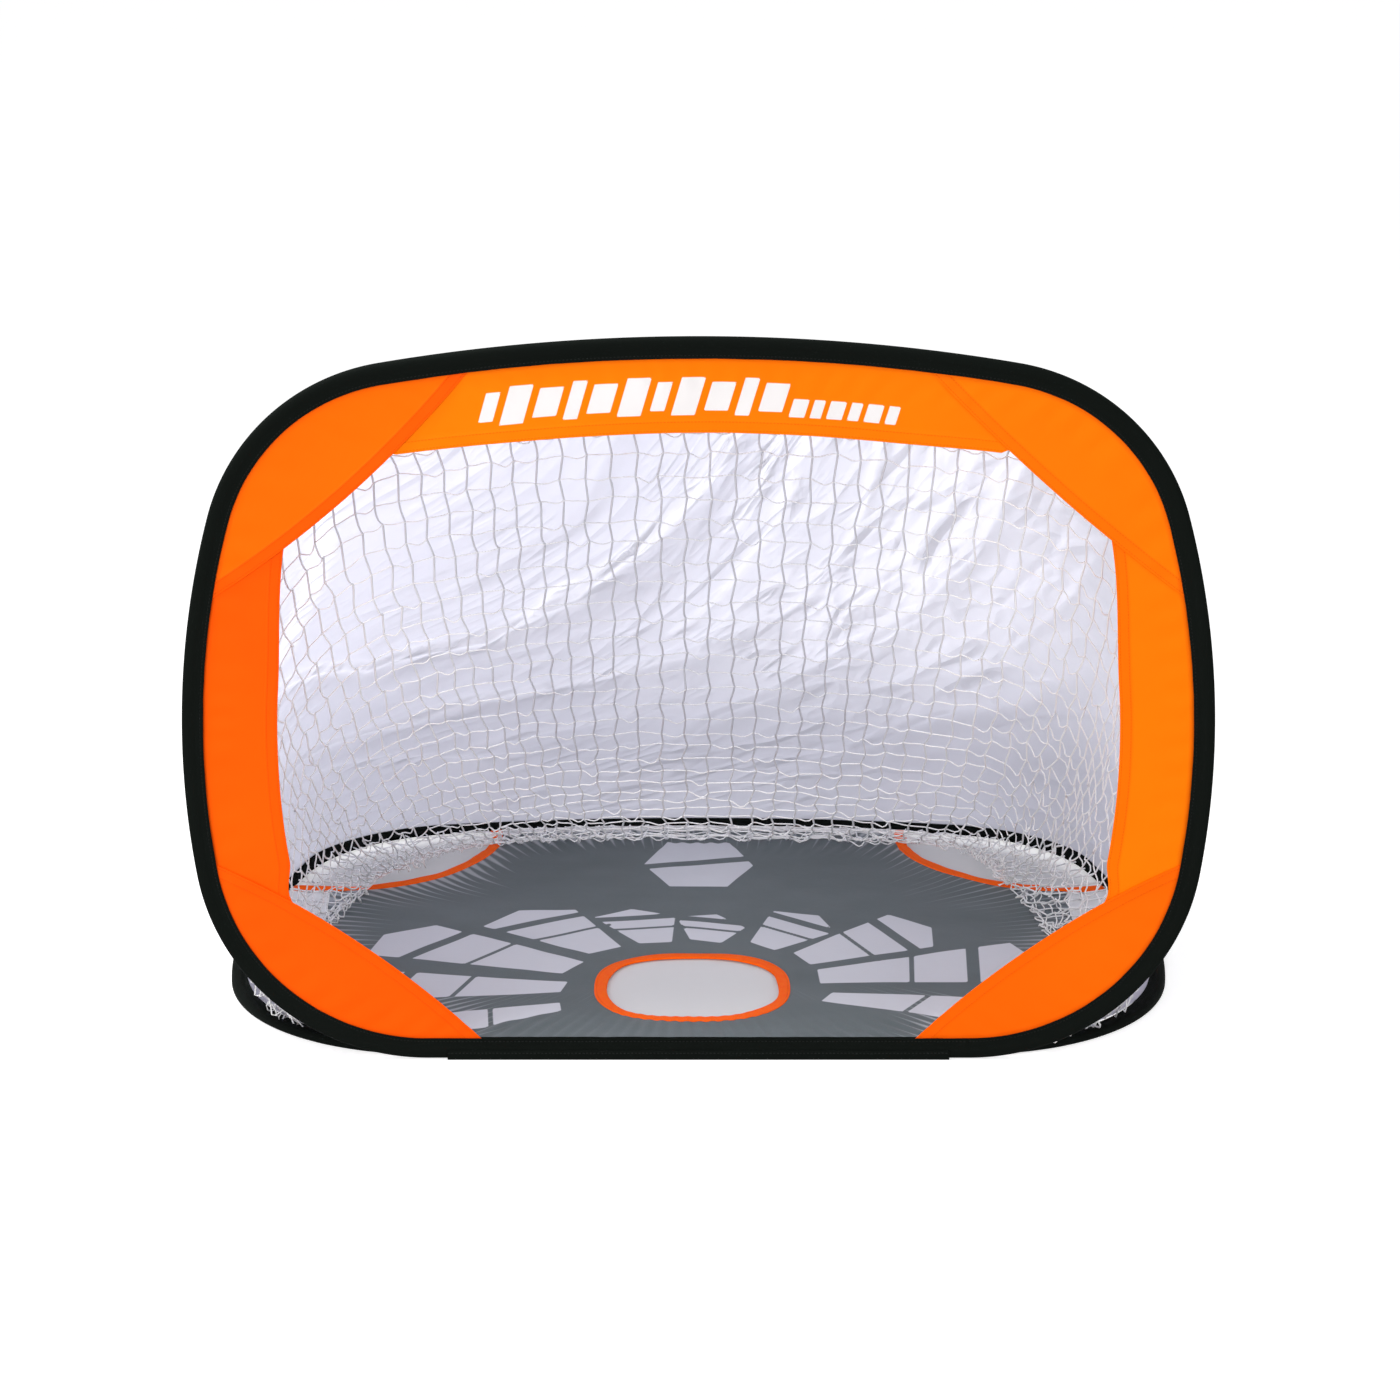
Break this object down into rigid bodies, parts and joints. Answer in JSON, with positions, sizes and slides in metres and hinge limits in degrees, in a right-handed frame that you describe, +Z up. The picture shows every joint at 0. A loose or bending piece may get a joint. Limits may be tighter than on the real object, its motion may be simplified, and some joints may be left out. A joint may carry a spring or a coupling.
{
  "type": "pop-up hockey goal",
  "caption": "Folding pop-up hockey goal: hinged spring-hoop frames, orange bands and corner gussets, a printed floor panel with target holes, and a slack net in front of white cloth.",
  "frame": {"origin": "on the ground, under the middle of the goal's bounding box", "axes": "+X to the right as the shooter sees the goal, +Y from the mouth towards the back, +Z up"},
  "size_m": [0.9136, 0.6734, 0.664],
  "materials": {
    "black_tape": "black woven polyester tape",
    "orange_fabric": "thin orange nylon, doubled at the hems",
    "orange_binding": "orange binding tape, matt",
    "printed_panel": "slate coloured polyester with a pale print",
    "white_net": "soft white knotted string",
    "white_cloth": "thin white nylon, creased",
    "spring_steel": "tempered spring strip",
    "ferrule_metal": "crimped metal, dull"
  },
  "bodies": {
    "floor_frame": {"floor_sleeve": "black_tape", "floor_hoop": "spring_steel", "floor_hoop_ferrule": "ferrule_metal", "target_panel": "printed_panel", "five_hole_binding": "orange_binding", "rear_left_hole_binding": "orange_binding", "rear_right_hole_binding": "orange_binding", "front_left_hole_binding": "orange_binding", "front_right_hole_binding": "orange_binding", "net": "white_net", "rear_sheet": "white_cloth"},
    "front_frame": {"front_sleeve": "black_tape", "front_hoop": "spring_steel", "front_hoop_ferrule": "ferrule_metal", "top_band": "orange_fabric", "left_band": "orange_fabric", "right_band": "orange_fabric", "top_left_gusset": "orange_fabric", "top_right_gusset": "orange_fabric", "bottom_left_gusset": "orange_fabric", "bottom_right_gusset": "orange_fabric", "hinge_tape": "black_tape"}
  },
  "joints": [
    {"name": "fold", "type": "hinge", "parent": "floor_frame", "child": "front_frame", "pos_m": [0, -0.3265, 0.00915], "axis": [-1, 0, 0], "range_deg": [0, 90], "stiffness_Nm_per_rad": 1, "springref_deg": -28.65, "deforming": ["net", "rear_sheet"]}
  ]
}
